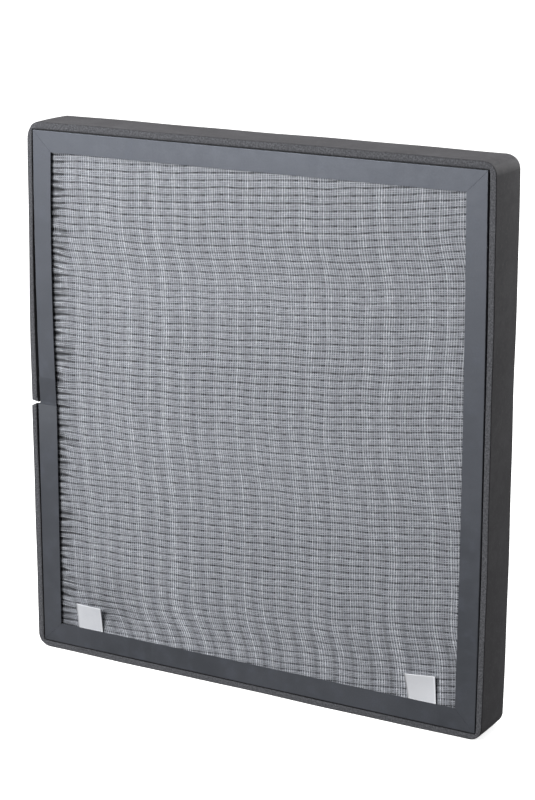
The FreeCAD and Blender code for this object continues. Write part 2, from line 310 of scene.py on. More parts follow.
def frame_coating():
    """Satin blue-grey coating: soft mottling, fine grain, faint rubbed streaks, with painted shade on
    the strip's upper end above the lap and a painted sheen on its lower end below it.
    """
    look = Look("frame_coating", Specular_IOR_Level=0.95, IOR=1.6,
                Specular_Tint=(0.80, 0.86, 1.0, 1.0))
    cloud = look.noise(16, 3)
    patch = look.noise(95, 3, 0.6)
    grain = look.noise(900, 2)
    rub = look.noise(60, 4, place=look.stretched((1.0, 1.0, 0.16)))
    base = look.mix(look.span(cloud, 0.35, 0.68), (0.024, 0.025, 0.0275), (0.032, 0.033, 0.0365))
    base = look.mix(look.span(rub, 0.6, 0.74, 0.0, 0.3), base, (0.056, 0.059, 0.066))
    base = look.mix(look.span(patch, 0.5, 0.72, 0.0, 0.45), base, (0.040, 0.043, 0.054))
    base = look.mix(look.span(grain, 0.3, 0.7, 0.0, 0.3), base, (0.018, 0.019, 0.022))
    # painted shade darkens the strip's upper end beside the lap, and a painted sheen brightens the
    # lower end below it
    parts = look.add("SeparateXYZ", Vector=look.place).outputs
    at_left = look.span(parts["X"], LAP_INNER * MM, (LAP_INNER + 0.3) * MM, 1.0, 0.0)
    above = look.span(parts["Z"], (LAP_Z - 0.1) * MM, (LAP_Z + 0.1) * MM)
    lap_shade = look.span(parts["Z"], LAP_Z * MM, (LAP_Z + LAP_SHADE_HEIGHT) * MM, 0.34, 0.0)
    sheen = look.span(parts["Z"], (LAP_Z - LAP_SHEEN_HEIGHT) * MM, LAP_Z * MM, 0.0, 0.32)
    lap_shade = look.math("MULTIPLY", at_left, look.math("MULTIPLY", above, lap_shade))
    # painted shade above the lap
    base = look.mix(lap_shade, base, (0.008, 0.0085, 0.010))
    below = look.math("MULTIPLY", at_left, look.math("SUBTRACT", 1.0, above))
    # painted sheen below the lap
    base = look.mix(look.math("MULTIPLY", below, sheen), base, (0.090, 0.094, 0.098))
    uneven = look.math("ADD", look.math("MULTIPLY", cloud, 0.6), look.math("MULTIPLY", patch, 0.6))
    uneven = look.math("ADD", uneven, look.math("MULTIPLY", grain, 0.3))
    rough = look.span(uneven, 0.5, 1.0, 0.50, 0.62)
    height = look.math("ADD", look.math("MULTIPLY", look.noise(22, 2), 3.0), patch)
    height = look.math("ADD", height, look.math("MULTIPLY", grain, 0.12))
    return look.finish(base, rough, height, 0.25, 0.35)


def foam_look():
    """Closed-cell foam: a smooth skin outside, open cut cells on the front and rear faces, with
    painted shade in the open slot next to the frame and along the skin's edge.
    """
    look = Look("seal_foam", Specular_IOR_Level=0.3)
    skin = look.value("skin")
    cells = look.speckle(1100)
    pits = look.noise(800, 3, 0.75)
    clumps = look.noise(190, 3)
    cut = look.mix(look.span(pits, 0.4, 0.62), (0.059, 0.060, 0.066), (0.119, 0.121, 0.132))
    cut = look.mix(look.span(clumps, 0.4, 0.7, 0.0, 0.35), cut, (0.075, 0.076, 0.083))
    cloud = look.noise(28, 3)
    smooth = look.mix(look.span(cloud, 0.35, 0.65), (0.096, 0.094, 0.100), (0.121, 0.119, 0.127))
    fine = look.noise(1300, 2)
    smooth = look.mix(look.span(fine, 0.3, 0.7, 0.0, 0.4), smooth, (0.088, 0.087, 0.092))
    scuff = look.noise(110, 4, 0.75)
    smooth = look.mix(look.span(scuff, 0.42, 0.66, 0.0, 0.55), smooth, (0.079, 0.077, 0.083))
    grit = look.noise(420, 3, 0.7)
    smooth = look.mix(look.span(grit, 0.52, 0.7, 0.0, 0.5), smooth, (0.150, 0.146, 0.156))
    colour = look.mix(skin, cut, smooth)
    # painted shade: near black in the open slot between foam and frame, and a dark line along the
    # skin's edge, as much as rim says
    colour = look.mix(look.math("MULTIPLY", look.value("rim"), 0.42), colour, (0.01, 0.01, 0.011))
    rough = look.span(skin, 0.0, 1.0, 0.92, 0.66)
    rough = look.math("ADD", rough, look.math("MULTIPLY", fine, 0.06))
    cut_height = look.math("ADD", cells, look.math("MULTIPLY", pits, 0.8))
    skin_height = look.math("MULTIPLY", fine, 0.18)
    return look.finish(colour, rough, look.mix_numbers(skin, cut_height, skin_height), 0.35, 0.8)


def dash_mask(look):
    """1 at the dashes of painted shade, which swap their place in the band from row to row; how far
    from a valley, in pleats; and whether that valley is odd."""
    band, row = look.value("band"), look.value("row")
    near = look.math("ABSOLUTE", look.math("SUBTRACT", row, look.math("ROUND", row)))
    odd = look.math("ABSOLUTE", look.math("MODULO", look.math("ROUND", row), 2.0))
    masks = []
    for at, half in ((DASH_A, 2.6), (DASH_B, 1.5)):
        along = look.math("SUBTRACT", band, at / BAND)
        off = look.math("ABSOLUTE", look.math("SUBTRACT", along, look.math("ROUND", along)))
        masks.append(look.span(off, (half + 0.5) / BAND, (half - 0.6) / BAND))
    return look.mix_numbers(odd, masks[1], masks[0]), near, odd


def shade_valleys(look, colour, odd_depth, even_depth, dash_depth, dark):
    """Painted shade: darkens a colour along the valleys, unevenly, more at the dashes, and most where
    the pleats' left ends are drawn in; also darker where the net is pulled apart."""
    dash, near, odd = dash_mask(look)
    fade = look.noise(85, 2, 0.5, look.stretched((1.0, 1.0, 1.6)))
    line = look.math("MULTIPLY", look.span(odd, 0.0, 1.0, even_depth, odd_depth),
                     look.span(fade, 0.35, 0.6, 0.45, 1.3))
    deep = look.math("MAXIMUM", line, look.math("MULTIPLY", dash, dash_depth))
    reach = look.span(dash, 0.0, 1.0, 0.055, 0.1)
    valley = look.math("MULTIPLY", look.span(near, reach, 0.02), deep)
    # painted shade along the valleys, deepest at the dashes
    colour = look.mix(valley, colour, dark)
    gather_shade_and_gaps = look.value("gather_shade_and_gaps")
    streak = look.noise(430, 3, 0.62, look.stretched((0.16, 1.0, 1.0)))
    pinch = look.span(streak, 0.42, 0.6, 0.95, 0.4)
    # painted shade, in streaks, where the pleats' ends are drawn in, and darker where the net is
    # pulled apart
    colour = look.mix(look.math("MULTIPLY", gather_shade_and_gaps, pinch), colour, (0.035, 0.036, 0.042))
    # and a wedge of painted shade along the valleys there
    wide = look.math("MULTIPLY_ADD", gather_shade_and_gaps, 0.3, 0.05)
    wedge = look.span(near, wide, look.math("MULTIPLY", wide, 0.1))
    wedge = look.math("MULTIPLY", wedge, look.span(gather_shade_and_gaps, 0.1, 0.7, 0.0, 0.6))
    return look.mix(wedge, colour, (0.03, 0.031, 0.036))


def medium_look():
    """Grey fibre felt: matted fibres, with painted shade in the valleys and at the dashes."""
    look = Look("filter_felt", Specular_IOR_Level=0.2, Sheen_Weight=0.1)
    fibre = look.noise(1100, 4, 0.7, look.stretched((0.35, 1.0, 1.0)))
    mat = look.noise(480, 3, 0.65)
    cloud = look.noise(45, 3)
    colour = look.mix(look.span(fibre, 0.3, 0.7), (0.068, 0.072, 0.081), (0.19, 0.199, 0.222))
    colour = look.mix(look.span(mat, 0.36, 0.64, 0.0, 0.5), colour, (0.19, 0.199, 0.222))
    colour = look.mix(look.span(cloud, 0.4, 0.7, 0.0, 0.3), colour, (0.13, 0.136, 0.151))
    colour = shade_valleys(look, colour, 0.46, 0.2, 0.9, (0.010, 0.011, 0.014))
    return look.finish(colour, 0.95, fibre, 0.2, 0.7)


def net_look():
    """White yarn, twisted, bright in the middle of each band and thinner between bands, with painted
    shade in the valleys and at the dashes.
    """
    look = Look("net_yarn", Specular_IOR_Level=0.35, Sheen_Weight=0.1)
    yarn = look.value("yarn")
    twist = look.noise(1500, 2, 0.6, look.stretched((1.0, 1.0, 0.45)))
    uneven = look.noise(560, 3, 0.65, look.stretched((1.0, 1.0, 0.6)))
    colour = look.mix(yarn, (0.288, 0.301, 0.333), (0.80, 0.832, 0.893))
    colour = look.mix(look.span(uneven, 0.42, 0.62, 0.5, 0.0), colour, (0.2, 0.208, 0.23))
    colour = look.mix(look.span(twist, 0.35, 0.65, 0.0, 0.3), colour, (0.22, 0.23, 0.255))
    colour = shade_valleys(look, colour, 0.36, 0.13, 0.86, (0.014, 0.015, 0.019))
    return look.finish(colour, 0.6, twist, 0.1, 0.5)


def ribbon_look():
    """White woven ribbon: a fine plain weave with a closer edge. The right one is painted whiter, as
    painted light that makes up for the lamps lighting it less.
    """
    look = Look("ribbon_weave", Specular_IOR_Level=0.35, Sheen_Weight=0.25)
    across, along = look.value("across"), look.value("along")
    warp = look.math("SINE", look.math("MULTIPLY", across, 2 * math.pi / 0.42))
    weft = look.math("SINE", look.math("MULTIPLY", along, 2 * math.pi / 0.5))
    weave = look.math("MULTIPLY", warp, weft)
    cloud = look.noise(160, 3)
    colour = look.mix(look.span(cloud, 0.3, 0.7), (0.632, 0.648, 0.688), (0.655, 0.67, 0.706))
    # painted light: the right ribbon, at x above zero, is painted whiter to make up for the softbox
    # lighting it less than the left one
    right = look.span(look.add("SeparateXYZ", Vector=look.place).outputs["X"], -0.01, 0.01)
    colour = look.mix(right, colour, (0.755, 0.768, 0.805))
    colour = look.mix(look.span(weave, -0.2, 1.0, 0.0, 0.2), colour, (0.59, 0.605, 0.65))
    edge = look.span(look.math("ABSOLUTE", across), 9.6, 10.4, 0.0, 0.4)
    colour = look.mix(edge, colour, (0.74, 0.75, 0.775))
    return look.finish(colour, 0.7, weave, 0.06, 0.5)


def melt_look(name, low, high, roughness, scale=90):
    """Set glue or sealant: cloudy, with small bubbles and a wavy skin."""
    look = Look(name, Specular_IOR_Level=0.5)
    cloud = look.noise(scale, 4)
    bubbles = look.speckle(scale * 9)
    colour = look.mix(look.span(cloud, 0.3, 0.7), low, high)
    colour = look.mix(look.span(bubbles, 0.12, 0.02, 0.0, 0.5), colour, high)
    rough = look.span(cloud, 0.3, 0.7, roughness - 0.06, roughness + 0.1)
    return look.finish(colour, rough, look.math("ADD", cloud, bubbles), 0.3, 0.4)


def tape_look():
    """Dark double-sided tape: a fine crepe across its length."""
    look = Look("tape_crepe", Specular_IOR_Level=0.4)
    crepe = look.noise(700, 3, 0.6, look.stretched((1.0, 0.2, 1.0)))
    colour = look.mix(look.span(crepe, 0.3, 0.7), (0.018, 0.018, 0.02), (0.04, 0.04, 0.043))
    return look.finish(colour, look.span(crepe, 0.3, 0.7, 0.45, 0.65), crepe, 0.08, 0.5)


def grid_look():
    """Black moulded netting: drawn strands with a soft gloss."""
    look = Look("grid_plastic", Specular_IOR_Level=0.5)
    drawn = look.noise(500, 3, 0.6)
    cloud = look.noise(50, 3)
    colour = look.mix(look.span(cloud, 0.3, 0.7), (0.022, 0.022, 0.025), (0.04, 0.041, 0.045))
    return look.finish(colour, look.span(drawn, 0.3, 0.7, 0.36, 0.55), drawn, 0.12, 0.5)


def give(piece, material):
    """Makes a material the only one of a piece."""
    piece.data.materials.clear()
    piece.data.materials.append(material)


# ---- foam strip -----------------------------------------------------------------------------

FOAM_ROUND = 0.45                # rounding of the strip's outer long edges
SLOT_DEPTH = 6.0                 # depth of the open slot between foam and frame
SLOT = 0.3                       # its width, where the foam lies close
LEFT_SLOT, RIGHT_SLOT = 0.4, 0.42    # and at the least along the sides
# How much wider the foam turns than the frame, at the lower, upper right and upper left corners
LOW_DRAW, RIGHT_DRAW, LEFT_DRAW = 4.2, 3.5, 6.5
# The right side spreads out towards the top, at its front and rear, from a height
FLARE_FRONT, FLARE_REAR, FLARE_FROM = 0.6, 1.6, 230.0
LEFT_SWELL = 1.5                 # how far the left side's upper run stands off near the notch
NOTCH_Z = LAP_Z + 0.9            # height of the V notch's root
NOTCH_UP, NOTCH_DOWN, NOTCH_ROOT = 1.2, 3.1, 0.12    # how far its lips part at mouth and root
NOTCH_PULL = 16                  # height over which the lips' cut fades into the strip
NOTCH_SLANT, SLANT_DEPTH = 0.31, 12.0    # the lower lip is cut at a slant from the front


def foam_route():
    """Stations round the frame as (x, z, out x, out z, slot), from the notch's lower lip round
    the bottom, right and top to its upper lip. The last number is the open slot's width."""
    low, high = FRAME_LOW[2], FRAME_HIGH[2]

    def heights(a, b, count):
        """Heights from a to b, closer together near the corners."""
        t = np.linspace(0, 1, count)
        ends = np.array([0.1, 0.35, 0.8, 1.5, 2.4, 3.4, 4.6, 6.0, 8.0])
        span = abs(b - a)
        t = np.concatenate([t, ends / span, 1 - ends / span])
        return a + (b - a) * np.sort(t)

    stations = []
    for z in heights(LAP_Z, low, 48)[:-1]:
        half = LOW_CORNER + (LAP_HALF - LOW_CORNER) * (z - low) / (LAP_Z - low)
        stations.append((-half, z, -1, 0, LEFT_SLOT + 0.75 * ease((z - 95) / 70)))
    for x in heights(-LOW_CORNER, LOW_CORNER, 90):
        stations.append((x, low, 0, -1, SLOT))
    for z in heights(low, high, 98)[1:]:
        half = through(z, (LOW_CORNER, low), (RIGHT_BULGE, RIGHT_BULGE_Z), (TOP_CORNER, high))
        stations.append((half, z, 1, 0, RIGHT_SLOT + 0.22 * ease((z - 220) / 90)))
    for x in heights(TOP_CORNER, -TOP_CORNER, 90)[1:]:
        stations.append((x, high, 0, 1, SLOT))
    for z in heights(high, LAP_Z, 52)[1:]:
        above = through(z, (TUCKED_HALF, JOG_TOP), (LEFT_BULGE, LEFT_BULGE_Z), (TOP_CORNER, high))
        half = above if z > JOG_TOP else TUCKED_HALF
        slot = LEFT_SLOT + 0.95 * ease((345 - z) / 60) * ease((z - LAP_Z) / 3)
        stations.append((-half, z, -1, 0, slot))
    return np.array(stations)


def foam_section(slot):
    """The strip's section as (share out from the frame, depth, skin, rim) points, going round; rim is
    how much painted shade a point gets, most in the open slot, some along the skin's edge.
    """
    points = []
    for side in (-1, 1):
        face = side * REAR
        inner = (slot if side < 0 else SLOT) / SEAL
        edge = inner + 0.06
        flat_to = 1 - FOAM_ROUND / SEAL
        # the last number is rim, painted shade: heaviest on the open slot's floor and inner wall,
        # light at the cut edge
        run = [(0, face - side * (SLOT_DEPTH + 0.6), 0, 2.4),
               (inner, face - side * SLOT_DEPTH, 0, 2.4),
               (inner, face - side * 0.35, 0, 2.2), (edge, face, 0, 0.4)]
        run += [(edge + (flat_to - edge) * t, face, 0, 0) for t in (0.33, 0.66, 0.9)]
        run += [(flat_to, face, 0.1, 1)]
        # rim paints a line of shade along the skin's edge, where the rounding starts
        for angle, skin, rim in ((30, 0.4, 1), (60, 0.8, 0.8), (90, 1, 0.3)):
            turn = math.radians(angle)
            run.append((flat_to + FOAM_ROUND / SEAL * math.sin(turn),
                        face - side * FOAM_ROUND * (1 - math.cos(turn)), skin, rim))
        points += run if side < 0 else run[::-1]
        if side < 0:
            for t in (0.01, 0.1, 0.2, 0.3, 0.4, 0.5, 0.6, 0.7, 0.8, 0.9, 0.99):
                crown = 0.05 * math.sin(math.pi * t)
                points.append((1 + crown, face + FOAM_ROUND + (DEPTH - 2 * FOAM_ROUND) * t, 1, 0))
    for t in (0.25, 0.5, 0.75):
        points.append((0, REAR - SLOT_DEPTH - (DEPTH - 2 * SLOT_DEPTH) * t, 0, 0))
    return np.array(points)


def foam_ring(x, z, nx, nz, slot):
    """The section's points at one station. The strip turns each corner on a wider round than
    the frame does, about a centre further in."""
    share, depth, skin, rim = foam_section(slot).T
    back = (depth - FRONT) / DEPTH
    thick = TAPE + SEAL
    upper = z > LAP_Z
    tall = FOAM_TOP - FRAME_HIGH[2] if upper else thick
    side = math.copysign(1, x)
    corner = abs(x) if nx else (TOP_CORNER if upper else LOW_CORNER)
    draw = (LEFT_DRAW if x < 0 else RIGHT_DRAW) if upper else LOW_DRAW
    over_x = abs(x) - corner + draw
    over_z = (z - FRAME_HIGH[2] if upper else FRAME_LOW[2] - z) + draw
    if over_x > 0 and over_z > 0:
        length = math.hypot(over_x, over_z)
        level = FRAME_HIGH[2] - draw if upper else FRAME_LOW[2] + draw
        outer_x = side * (corner - draw + (draw + thick) * over_x / length)
        outer_z = level + (draw + tall) * over_z / length * (1 if upper else -1)
        along = over_x / length
    else:
        outer_x, outer_z = x + nx * thick, z + nz * tall
        along = abs(nx)
    flare = (FLARE_FRONT + (FLARE_REAR - FLARE_FRONT) * back) * along
    flare = flare * max(0, (z - FLARE_FROM) / (FRAME_HIGH[2] - FLARE_FROM)) * (x > 0)
    inner_x, inner_z = x + nx * TAPE, z + nz * TAPE
    ring_x = inner_x + (outer_x + flare - inner_x) * share
    ring_z = inner_z + (outer_z - inner_z) * share
    return ring_x, depth, ring_z, share, skin, rim


def build_foam():
    """The strip, ring by ring from the notch's lower lip to its upper lip, with closed ends."""
    route = foam_route()
    length = np.concatenate([[0], np.cumsum(np.hypot(*np.diff(route[:, :2], axis=0).T))])
    rings, skins, rim_shades = [], [], []
    for (x, z, nx, nz, slot), s in zip(route, length):
        ring_x, depth, ring_z, share, skin, rim = foam_ring(x, z, nx, nz, slot)
        press = 0.14 * math.sin(s / 31) + 0.1 * math.sin(s / 12.7 + 1)
        ring_x, ring_z = ring_x + nx * press * share, ring_z + nz * press * share
        depth = depth + 0.12 * math.sin(s / 23 + 2) * np.sign(depth)
        if nx == -1:
            near = ease(1 - abs(z - LAP_Z) / NOTCH_PULL)
            if s < length[-1] / 2:
                lip = NOTCH_ROOT + (NOTCH_DOWN - NOTCH_ROOT) * share
                lip = lip + NOTCH_SLANT * np.clip(depth - FRONT, 0, SLANT_DEPTH)
                lip = lip - (NOTCH_Z - LAP_Z)
                ring_z = ring_z - near * lip
                ring_x = ring_x - 0.4 * share
            else:
                lip = NOTCH_ROOT + (NOTCH_UP - NOTCH_ROOT) * share + NOTCH_Z - LAP_Z
                ring_z = ring_z + near * lip
                # the frame is drawn in here, and the foam's outside stands off it
                swell = LEFT_SWELL * ease((300 - z) / 75) - 0.6 * ease((z - 290) / 60)
                ring_x = ring_x - swell * share
        rings.append(np.stack([ring_x, depth, ring_z], 1))
        skins.append(skin)
        rim_shades.append(rim)
    rows, columns = len(rings), len(rings[0])
    points = np.concatenate(rings)
    faces = quads(rows, columns, close_columns=True).tolist()
    skins, rim_shades = np.concatenate(skins), np.concatenate(rim_shades)
    for first, flip in ((0, False), ((rows - 1) * columns, True)):
        middle = points[first:first + columns].mean(0)
        centre = len(points)
        points = np.vstack([points, middle])
        skins, rim_shades = np.append(skins, 0), np.append(rim_shades, 0)
        for i in range(columns):
            a, b = first + i, first + (i + 1) % columns
            faces.append([centre, b, a] if flip else [centre, a, b])
    piece = new_piece("foam_strip", points, faces)
    set_values(piece, "skin", skins)
    set_values(piece, "rim", rim_shades)
    give(piece, foam_look())
    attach(piece, "panel")
    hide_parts("foam_seal")


# ---- pleated medium -------------------------------------------------------------------------

TIP_BACK = 0.2                   # from the net's rear face forward to the pleats' tips


def pleat_profile(gap_below, gap_above):
    """One pleat from its lower valley to its upper valley, as (offset up, depth) points; the
    valleys' ends are the rear folds."""
    tip, rear = NET_HIGH[1] - TIP_BACK, PACK_HIGH[1]

    def side(gap):
        half = PITCH / 2 - gap
        quarter = [(0.0, 0.0), (1.25, 0.04), (half - 0.28, 0.22), (half, 1.0), (half - 0.3, 5.0)]
        front = [(up, tip + back) for up, back in quarter]
        return front + [(PITCH / 2 - up, rear - depth) for up, depth in quarter[::-1]]

    lower = [(-up, y) for up, y in side(gap_below)[:0:-1]]
    return np.array(lower + side(gap_above))


def gaps(k):
    """Half gaps below and above pleat k."""
    return (GAP_ODD, GAP_EVEN) if k % 2 else (GAP_EVEN, GAP_ODD)


def pleat_numbers():
    """The pack's pleats are numbered from 0, from the bottom up."""
    return np.arange(-EXTRA_PLEATS, PLEATS + EXTRA_PLEATS)


def ends_of_pleats():
    """How narrow, high, far back, dark with painted shade, bright with a painted highlight and long
    each pleat's drawn-in left end is, drawn at random between these limits."""
    count = len(pleat_numbers())
    spans = ((0.5, 0.95), (-0.9, 0.9), (0.0, 0.5), (0.0, 1.0), (0.0, 1.0), (7.0, 22.0))
    return [rng.uniform(low, high, count) for low, high in spans]


END_NARROW, END_LIFT, END_BACK, END_SHADE, END_HIGHLIGHT, END_REACH = ends_of_pleats()
# Where the net's level threads lie, in pitches from a pleat's middle, and which of them gets a
# painted highlight at each pleat's left end
WEFT_PLACES = (-0.25, 0.0, 0.25)
END_HIGHLIT_WEFT = rng.choice(WEFT_PLACES, len(pleat_numbers()))


def build_medium():
    """The felt as one sheet, folded up and down through all its pleats."""
    columns = 64
    xs = PACK_LOW[0] + (PACK_HIGH[0] - PACK_LOW[0]) * np.linspace(0, 1, columns)
    near_flange = [-161, -158, -155, -152, -149]    # more columns, where the ends are drawn in
    xs = np.sort(np.concatenate([xs, near_flange]))
    tip = NET_HIGH[1] - TIP_BACK
    points, bands, rows, shades_and_gaps = [], [], [], []
    for i, k in enumerate(pleat_numbers()):
        middle = PACK_LOW[2] + (k + 0.5) * PITCH
        profile = pleat_profile(*gaps(k))
        for up, y in profile[:-1]:
            drawn = left_end(xs, END_REACH[i]) * (y < 0)
            narrow = 1 - 0.25 * drawn * (1 - END_NARROW[i]) * np.exp(-((y - tip) / 9) ** 2)
            line = row_shift(xs, middle) + wander(xs, k + 0.5 + up / PITCH)
            z = middle + up * narrow + line + drawn * END_LIFT[i]
            depth = y + drawn * END_BACK[i] + 0.06 * np.sin(xs / 6.3 + k * 2.1) * (y < -13)
            points.append(np.stack([xs, depth, z], 1))
            bands.append((xs - BAND_START - thread_shift(xs, middle)) / BAND)
            rows.append(np.full(len(xs), k + 0.5 + up / PITCH))
            # painted shade where the end is drawn in; darker too where the net is pulled apart
            ends = np.sqrt(drawn) * (0.4 + 0.6 * END_SHADE[i])
            shades_and_gaps.append(np.maximum(ends, pulled_apart(xs, middle)))
    piece = new_piece("pleated_felt", np.concatenate(points), quads(len(points), len(xs)))
    set_values(piece, "band", np.concatenate(bands))
    set_values(piece, "row", np.concatenate(rows))
    set_values(piece, "gather_shade_and_gaps", np.concatenate(shades_and_gaps))
    trim(piece, 2, PACK_LOW[2], PACK_HIGH[2])
    give(piece, medium_look())
    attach(piece, "panel")
    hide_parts("pleated_medium")
    return piece


# ---- net -----------------------------------------------------------------------------------

# Points of a thread over a pleat: place in the pleat, from its middle, and dip towards the valley
NET_STOPS = ((-0.5, 0.28), (-0.42, 0.1), (0.0, 0.0), (0.42, 0.1))
ON_PLEAT = 0.45                  # places nearer the middle than this move with the pleat's end
THREAD_THIN, THREAD_MORE = 0.60, 0.22    # width of a dim thread, and how much wider a bright one is
WEFT_HALF = 0.2                  # half the width of a level thread
LOW_DOWN, LOW_DOWN_OVER = 62, 12     # the net is looser below about this height, over so much
# How bright a thread is, by how many threads it lies from the middle of its band
THREAD_BRIGHT = np.array([0.93, 0.82, 0.62, 0.38, 0.28])


def net_point(x, i, k, place, dip):
    """Depth and height of the net over pleat k at x, its even height, and how drawn in it is."""
    middle = PACK_LOW[2] + (k + 0.5) * PITCH
    drawn = left_end(x, END_REACH[i])
    height = middle + place * PITCH
    narrow = 1 - drawn * (1 - END_NARROW[i]) * (abs(place) < ON_PLEAT)
    z = middle + place * PITCH * narrow + row_shift(x, height) + wander(x, k + 0.5 + place)
    z = z + drawn * END_LIFT[i] * (abs(place) < ON_PLEAT)
    y = NET_LOW[1] - 0.02 + dip * (1 + 1.2 * drawn) + drawn * END_BACK[i]
    return y, z, height, drawn


def build_net(pleats):
    """Upright threads as flat yarns over the pleats, and three level threads on each pleat."""
    rows = pleat_numbers()
    first = math.ceil((NET_LOW[0] - 20 - BAND_START) / THREAD_PITCH)
    last = math.floor((NET_HIGH[0] + 12 - BAND_START) / THREAD_PITCH)
    count = np.arange(first, last + 1)
    half_band = BAND_THREADS // 2
    in_band = np.abs((count + half_band) % BAND_THREADS - half_band)
    uneven = rng.uniform(0.55, 1.15, len(count))
    bright = THREAD_BRIGHT[in_band] * uneven + rng.uniform(-0.1, 0.1, len(count))
    bright = np.clip(bright, 0.02, 1)
    width = THREAD_THIN + THREAD_MORE * bright
    even = BAND_START + count * THREAD_PITCH + rng.uniform(-0.14, 0.14, len(count))
    layers, shines, bands, places, shades_and_gaps = [], [], [], [], []
    for i, k in enumerate(rows):
        for place, dip in NET_STOPS:
            shifted = even + thread_shift(even, PACK_LOW[2] + (k + 0.5 + place) * PITCH)
            y, z, height, drawn = net_point(shifted, i, k, place, dip)
            for side in (-0.5, 0.5):
                layers.append(np.stack([shifted + side * width, y, z], 1))
                low_down = rise((LOW_DOWN - height) / LOW_DOWN_OVER)
                shines.append(0.52 * (0.6 + (bright - 0.6) * (1 + 0.9 * low_down)))
                bands.append((even - BAND_START) / BAND)
                places.append(np.full(len(even), k + 0.5 + place))
                # painted shade where the end is drawn in; darker too where the net is pulled apart
                ends = np.sqrt(drawn) * (0.35 + 0.65 * END_SHADE[i])
                apart = np.maximum(0.7 * pulled_apart(shifted, height),
                                   0.5 * low_down * (in_band == half_band))
                shades_and_gaps.append(np.maximum(ends, apart))
    threads, steps = len(even), len(rows) * len(NET_STOPS)
    points = np.array(layers).reshape(steps, 2, threads, 3)
    points = points.transpose(2, 0, 1, 3).reshape(-1, 3)
    faces = np.concatenate([quads(steps, 2) + t * steps * 2 for t in range(threads)])

    def by_thread(values):
        return np.array(values).reshape(steps, 2, threads).transpose(2, 0, 1).ravel()

    shine, band, place, gather_shade_and_gaps = [by_thread(v) for v in (shines, bands, places, shades_and_gaps)]

    stations = np.linspace(NET_LOW[0], NET_HIGH[0], 76)
    start = len(points)
    weft_points, weft_faces = [], []
    weft_shine, weft_band, weft_place, weft_end_shade = [], [], [], []
    for i, k in enumerate(rows):
        for place_in in WEFT_PLACES:
            dip = NET_STOPS[1][1] * abs(place_in / NET_STOPS[1][0]) + 0.03
            y, z, height, drawn = net_point(stations, i, k, place_in, dip)
            wobble = 0.1 * np.sin(stations / 3.1 + k * 1.7 + place_in * 9)
            for side in (-WEFT_HALF, WEFT_HALF):
                weft_points.append(np.stack([stations, y, z + side + wobble], 1))
            weft_faces.append(quads(2, len(stations)) + start)
            start += 2 * len(stations)
            highlit_weft = place_in == END_HIGHLIT_WEFT[i]
            # a painted highlight on the chosen weft where the end is drawn in; the other wefts get
            # painted shade there
            shine_here = rng.uniform(0.1, 0.4) + 1.1 * drawn * END_HIGHLIGHT[i] * highlit_weft
            weft_shine += [shine_here, shine_here]
            weft_end_shade += [drawn * END_SHADE[i] * (0.0 if highlit_weft else 0.8)] * 2
            band_at = (stations - BAND_START - thread_shift(stations, height)) / BAND
            weft_band += [band_at, band_at]
            weft_place.append(np.full(2 * len(stations), k + 0.5 + place_in))
    points = np.concatenate([points, *weft_points])
    faces = np.concatenate([faces, *weft_faces])
    piece = new_piece("front_netting", points, faces)
    set_values(piece, "yarn", np.concatenate([shine, *weft_shine]))
    set_values(piece, "band", np.concatenate([band, *weft_band]))
    set_values(piece, "row", np.concatenate([place, *weft_place]))
    set_values(piece, "gather_shade_and_gaps", np.concatenate([gather_shade_and_gaps, *weft_end_shade]))
    trim(piece, 2, NET_LOW[2], NET_HIGH[2])
    trim(piece, 0, NET_LOW[0], NET_HIGH[0])
    give(piece, net_look())
    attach(piece, "panel")
    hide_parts("front_net")


# ---- hot-melt beads on the clean side -----------------------------------------------------------

BEAD_WIDTH, BEAD_COUNT = 2.4, 5
BEAD_BACK = 0.95                 # from the rear of the beads' box forward to their middle line
BEAD_HEIGHT = 0.85               # how far they stand off that line
# Points of a bead over a pleat: place in the pleat, from its lower valley, and dip forward
BEAD_STOPS = ((0.0, 0.0), (0.25, 0.12), (0.5, 0.7), (0.75, 0.12))


def build_beads():
    """Half-round beads that run up the panel over the rear folds and dip between them."""
    low, high = box_mm("spacer_beads")
    turns = np.radians(np.linspace(-90, 90, 7))
    centres = np.linspace(low[0] + BEAD_WIDTH / 2, high[0] - BEAD_WIDTH / 2, BEAD_COUNT)
    points, faces, start = [], [], 0
    for n, x in enumerate(centres):
        rings = []
        for k in pleat_numbers():
            for place, dip in BEAD_STOPS:
                even = PACK_LOW[2] + (k + place) * PITCH
                z = even + row_shift(x, even)
                if low[2] <= z <= high[2]:
                    fat = 1 + 0.14 * math.sin(k * 1.3 + n) + 0.1 * math.sin(k * 3.1 + place * 5)
                    side = x + 0.25 * math.sin(z / 9 + n * 2)
                    y = high[1] - BEAD_BACK - dip
                    rings.append(np.stack([side + BEAD_WIDTH / 2 * fat * np.sin(turns),
                                           y + BEAD_HEIGHT * fat * np.cos(turns),
                                           np.full(len(turns), z)], 1))
        points += rings
        faces.append(quads(len(rings), len(turns)) + start)
        start += len(rings) * len(turns)
    piece = new_piece("melt_beads", np.concatenate(points), np.concatenate(faces))
    give(piece, melt_look("hot_melt", (0.55, 0.5, 0.38), (0.72, 0.67, 0.54), 0.3))
    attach(piece, "panel")
    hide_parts("spacer_beads")


# ---- ribbon tabs -----------------------------------------------------------------------------

RIBBON_PLY = 0.36                # thickness of one ply
RIBBON_GAP = 0.06                # between the two plies
RIBBON_FREE = 19.4               # length above the bend
TAB_LEAN = {"left": (12.0, 13.5), "right": (15.2, 4.4)}    # degrees, at the left and right edge
TAB_DRIFT = {"left": 1.3, "right": -0.35}                  # sideways, from bend to tip
LEAN_BELOW, LEAN_OVER = 0.8, 2.4     # the lean starts so far below the bend, and takes so long
TIP_LEAN, TIP_FROM, TIP_OVER = 3.0, 6, 14    # degrees more towards the tip, from and over
FREE_STEPS = 25
TAB_CURL = 0.3                   # how far the tip's edges lie behind its middle


